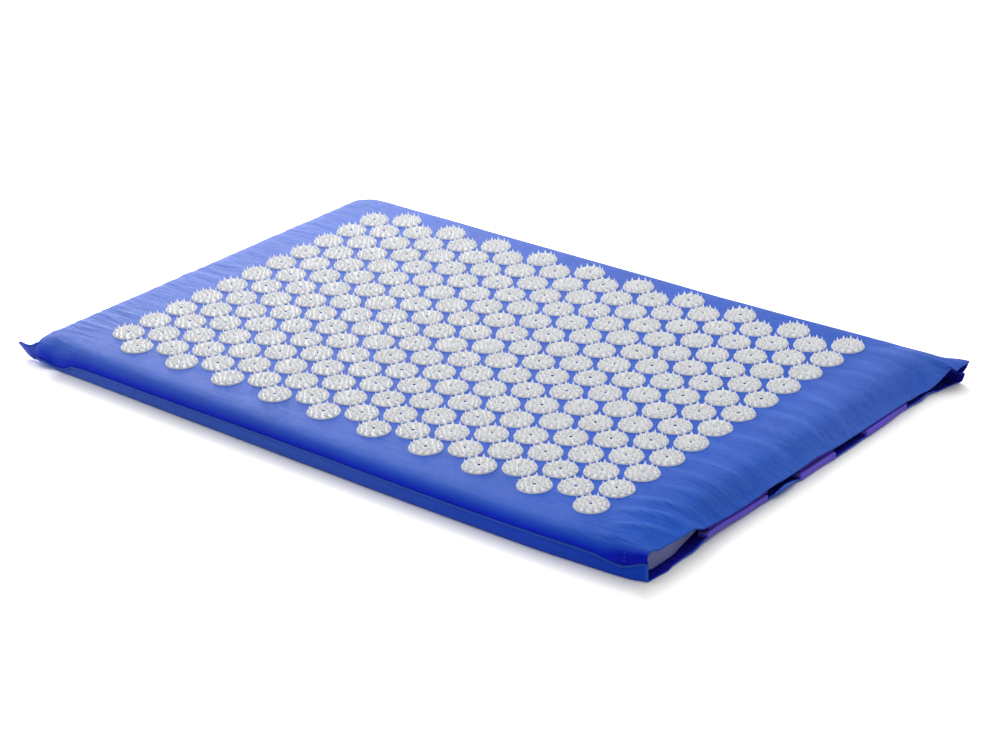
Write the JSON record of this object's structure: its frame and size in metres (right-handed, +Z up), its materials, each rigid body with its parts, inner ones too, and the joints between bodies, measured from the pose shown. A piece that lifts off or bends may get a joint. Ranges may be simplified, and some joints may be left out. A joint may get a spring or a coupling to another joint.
{
  "type": "acupressure mat",
  "caption": "Flat foam mat in a blue cotton slip cover, with a close-packed field of spiked plastic discs on top and a hook-and-loop mouth that the foam slides out of.",
  "frame": {"origin": "centre of the flat underside, midway between the closed end's seam and the mouth's edge", "axes": "+X along the mat towards the mouth, +Y across the mat, +Z up out of the spike discs"},
  "size_m": [0.7081, 0.4281, 0.0317],
  "materials": {
    "cover_cotton": "royal blue plain-weave cotton, matt with a faint sheen",
    "seam_thread": "darker blue sewing thread over a turned-in seam edge",
    "disc_plastic": "ivory-white moulded plastic, satin",
    "core_foam": "bluish-grey open-cell foam, cut faces",
    "closure_tape": "violet woven hook-and-loop tape"
  },
  "bodies": {
    "cover": {"back_side_seam": "seam_thread", "bottom_hem": "cover_cotton", "bottom_panel": "cover_cotton", "closed_end_seam": "seam_thread", "corner_ear": "cover_cotton", "front_side_seam": "seam_thread", "hook_patch_back": "closure_tape", "hook_patch_front": "closure_tape", "hook_patch_middle": "closure_tape", "loop_patch_back": "closure_tape", "loop_patch_front": "closure_tape", "loop_patch_middle": "closure_tape", "spike_disc_01": "disc_plastic", "spike_disc_02": "disc_plastic", "spike_disc_03": "disc_plastic", "spike_disc_04": "disc_plastic", "spike_disc_05": "disc_plastic", "spike_disc_06": "disc_plastic", "spike_disc_07": "disc_plastic", "spike_disc_08": "disc_plastic", "spike_disc_09": "disc_plastic", "spike_disc_10": "disc_plastic", "spike_disc_11": "disc_plastic", "spike_disc_12": "disc_plastic", "spike_disc_13": "disc_plastic", "spike_disc_14": "disc_plastic", "spike_disc_15": "disc_plastic", "spike_disc_16": "disc_plastic", "spike_disc_17": "disc_plastic", "spike_disc_18": "disc_plastic", "spike_disc_19": "disc_plastic", "spike_disc_20": "disc_plastic", "spike_disc_21": "disc_plastic", "spike_disc_22": "disc_plastic", "spike_disc_23": "disc_plastic", "top_hem": "cover_cotton", "top_panel": "cover_cotton"},
    "foam": {"foam_core": "core_foam"}
  },
  "joints": [
    {"name": "foam_slide", "type": "slide", "parent": "cover", "child": "foam", "axis": [1, 0, 0], "range_m": [0, 0.65], "deforming": ["top_hem", "bottom_hem", "hook_patch_front", "hook_patch_middle", "hook_patch_back", "loop_patch_front", "loop_patch_middle", "loop_patch_back"]}
  ]
}
